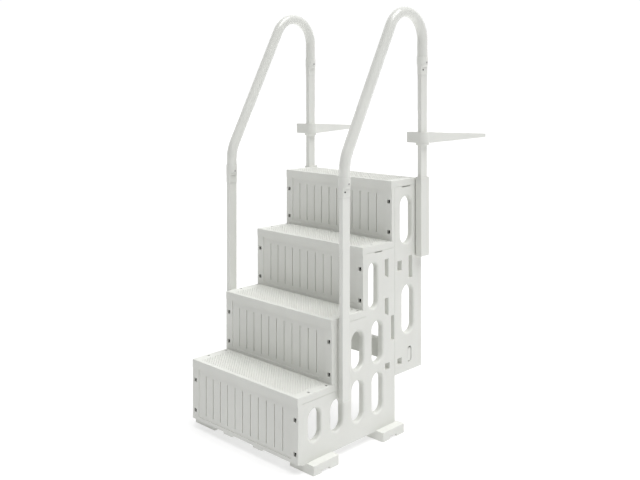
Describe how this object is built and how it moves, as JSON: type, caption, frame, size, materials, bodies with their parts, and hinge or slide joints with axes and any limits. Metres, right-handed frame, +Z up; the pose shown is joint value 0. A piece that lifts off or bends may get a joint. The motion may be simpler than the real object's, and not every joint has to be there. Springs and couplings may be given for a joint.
{
  "type": "pool ladder",
  "caption": "In-pool entry ladder: hollow stair steps on slotted side panels, round handrails on side posts and swivelling deck arms.",
  "frame": {"origin": "centre of the bounding box on the pool floor, under the feet", "axes": "+Z up; +X to the right of a person who climbs the steps; +Y the way they climb, towards the pool wall and deck"},
  "size_m": [0.9384, 1.339, 1.9261],
  "materials": {
    "panel_plastic": "fine-grained moulded resin",
    "tread_plastic": "moulded resin with an anti-slip pattern",
    "riser_plastic": "moulded resin",
    "foot_plastic": "moulded resin",
    "arm_plastic": "moulded resin",
    "fitting_plastic": "smooth moulded resin",
    "button_plastic": "smooth moulded resin",
    "rail_coating": "powder-coated aluminium tube, satin",
    "screw_steel": "dark coated stainless steel",
    "spring_steel": "stainless spring steel"
  },
  "bodies": {
    "frame": {"coupler_screws": "screw_steel", "foot_screws": "screw_steel", "front_foot_left": "foot_plastic", "front_foot_right": "foot_plastic", "front_post_block_left": "panel_plastic", "front_post_block_right": "panel_plastic", "front_post_left": "rail_coating", "front_post_right": "rail_coating", "front_rail_coupler_left": "fitting_plastic", "front_rail_coupler_right": "fitting_plastic", "handrail_left": "rail_coating", "handrail_right": "rail_coating", "lower_side_panel_left": "panel_plastic", "lower_side_panel_right": "panel_plastic", "panel_lock_key_left": "panel_plastic", "panel_lock_key_right": "panel_plastic", "post_bolts": "screw_steel", "post_end_caps": "fitting_plastic", "rear_cross_brace": "panel_plastic", "rear_foot_left": "foot_plastic", "rear_foot_right": "foot_plastic", "rear_post_left": "rail_coating", "rear_post_right": "rail_coating", "rear_post_sleeve_left": "panel_plastic", "rear_post_sleeve_right": "panel_plastic", "rear_rail_coupler_left": "fitting_plastic", "rear_rail_coupler_right": "fitting_plastic", "riser_1": "riser_plastic", "riser_2": "riser_plastic", "riser_3": "riser_plastic", "riser_4": "riser_plastic", "riser_screws": "screw_steel", "snap_clip_front_left": "spring_steel", "snap_clip_front_right": "spring_steel", "snap_clip_rear_left": "spring_steel", "snap_clip_rear_right": "spring_steel", "tread_1": "tread_plastic", "tread_2": "tread_plastic", "tread_3": "tread_plastic", "tread_4": "tread_plastic", "tread_screws": "screw_steel", "upper_side_panel_left": "panel_plastic", "upper_side_panel_right": "panel_plastic"},
    "collar_right": {"arm_collar_right": "arm_plastic", "collar_screw_right": "screw_steel"},
    "arm_right": {"deck_arm_right": "arm_plastic"},
    "button_front_right": {"snap_button_front_right": "button_plastic"},
    "button_rear_right": {"snap_button_rear_right": "button_plastic"},
    "collar_left": {"arm_collar_left": "arm_plastic", "collar_screw_left": "screw_steel"},
    "arm_left": {"deck_arm_left": "arm_plastic"},
    "button_front_left": {"snap_button_front_left": "button_plastic"},
    "button_rear_left": {"snap_button_rear_left": "button_plastic"}
  },
  "joints": [
    {"name": "collar_slide_right", "type": "slide", "parent": "frame", "child": "collar_right", "axis": [0, 0, 1], "range_m": [-0.076, 0.076]},
    {"name": "arm_swivel_right", "type": "hinge", "parent": "collar_right", "child": "arm_right", "pos_m": [0.43719, 0.1245, 1.296], "axis": [0, 0, 1], "range_deg": [-35, 35]},
    {"name": "button_press_front_right", "type": "slide", "parent": "frame", "child": "button_front_right", "axis": [-1, 0, 0], "range_m": [0, 0.005], "stiffness_N_per_m": 800, "springref_m": -0.002},
    {"name": "button_press_rear_right", "type": "slide", "parent": "frame", "child": "button_rear_right", "axis": [-1, 0, 0], "range_m": [0, 0.005], "stiffness_N_per_m": 800, "springref_m": -0.002},
    {"name": "collar_slide_left", "type": "slide", "parent": "frame", "child": "collar_left", "axis": [0, 0, 1], "range_m": [-0.088, 0.064]},
    {"name": "arm_swivel_left", "type": "hinge", "parent": "collar_left", "child": "arm_left", "pos_m": [-0.29581, 0.1245, 1.308], "axis": [0, 0, 1], "range_deg": [-49.3, 20.7]},
    {"name": "button_press_front_left", "type": "slide", "parent": "frame", "child": "button_front_left", "axis": [-1, 0, 0], "range_m": [0, 0.005], "stiffness_N_per_m": 800, "springref_m": -0.002},
    {"name": "button_press_rear_left", "type": "slide", "parent": "frame", "child": "button_rear_left", "axis": [-1, 0, 0], "range_m": [0, 0.005], "stiffness_N_per_m": 800, "springref_m": -0.002}
  ]
}
